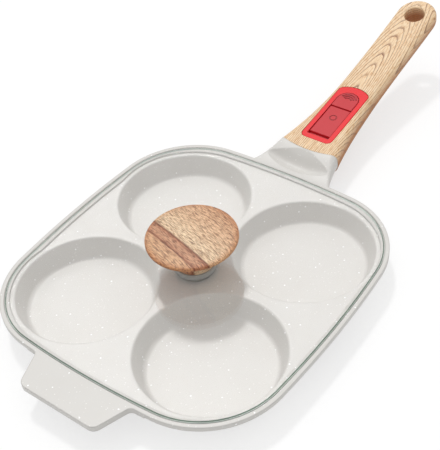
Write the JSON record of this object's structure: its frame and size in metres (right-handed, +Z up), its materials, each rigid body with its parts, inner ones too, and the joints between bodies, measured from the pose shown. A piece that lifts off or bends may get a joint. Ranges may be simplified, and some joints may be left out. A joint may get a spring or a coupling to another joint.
{
  "type": "four-well egg pan with glass lid and detachable handle",
  "caption": "Rounded-square poacher pan with round egg wells, a flat glass lid with a wooden knob, and a wooden handle that latches on.",
  "frame": {"origin": "on the hob, at the middle of the four induction discs, under the lid knob's axis", "axes": "+Y along the pan towards the handle, +Z up, +X to the right with the handle at the back"},
  "size_m": [0.2266, 0.4705, 0.0616],
  "materials": {
    "coated_aluminium": "satin, stone-look non-stick coating",
    "disc_steel": "turned",
    "tongue_steel": "brushed",
    "screw_steel": "plain",
    "clear_glass": "clear, green at the ground edge",
    "acacia": "oiled, dark flecks",
    "ash": "lacquered, brown grain lines",
    "grey_silicone": "matt",
    "clear_silicone": "matt",
    "insert_brass": "plain",
    "red_plastic": "satin",
    "dark_red_plastic": "satin",
    "grey_plastic": "fine matt",
    "white_plastic": "fine matt",
    "bolt_steel": "ground"
  },
  "bodies": {
    "pan": {"pan_body": "coated_aluminium", "induction_disc_1": "disc_steel", "induction_disc_2": "disc_steel", "induction_disc_3": "disc_steel", "induction_disc_4": "disc_steel", "tongue_plate": "tongue_steel", "tongue_screws": "screw_steel"},
    "lid": {"lid_glass": "clear_glass", "knob": "acacia", "knob_collar": "grey_silicone", "knob_insert": "insert_brass", "lower_gasket": "clear_silicone", "knob_washer": "screw_steel", "knob_screw": "screw_steel"},
    "handle": {"handle_grip": "ash", "socket_liner": "grey_plastic", "bolt_guide": "white_plastic", "release_cover": "red_plastic", "cover_screws": "screw_steel", "button_spring": "bolt_steel"},
    "latch": {"slide_latch": "dark_red_plastic"},
    "bolt": {"latch_bolt": "bolt_steel", "bolt_pin": "bolt_steel"},
    "button": {"lock_button": "dark_red_plastic"}
  },
  "joints": [
    {"name": "lid_lift", "type": "slide", "parent": "pan", "child": "lid", "axis": [0, 0, 1], "range_m": [0, 0.08]},
    {"name": "handle_release", "type": "slide", "parent": "pan", "child": "handle", "axis": [0, 0.9921, 0.1253], "range_m": [0, 0.06]},
    {"name": "latch_slide", "type": "slide", "parent": "handle", "child": "latch", "axis": [0, -0.9921, -0.1253], "range_m": [0, 0.003]},
    {"name": "bolt_drop", "type": "slide", "parent": "handle", "child": "bolt", "axis": [0, 0.1253, -0.9921], "range_m": [0, 0.0025]},
    {"name": "button_press", "type": "slide", "parent": "handle", "child": "button", "axis": [0, 0.1253, -0.9921], "range_m": [0, 0.002], "stiffness_N_per_m": 500, "springref_m": -0.002, "deforming": ["button_spring"]}
  ],
  "couplings": [
    {"joint": "bolt_drop", "follows": "latch_slide", "ratio": 0.83333}
  ]
}
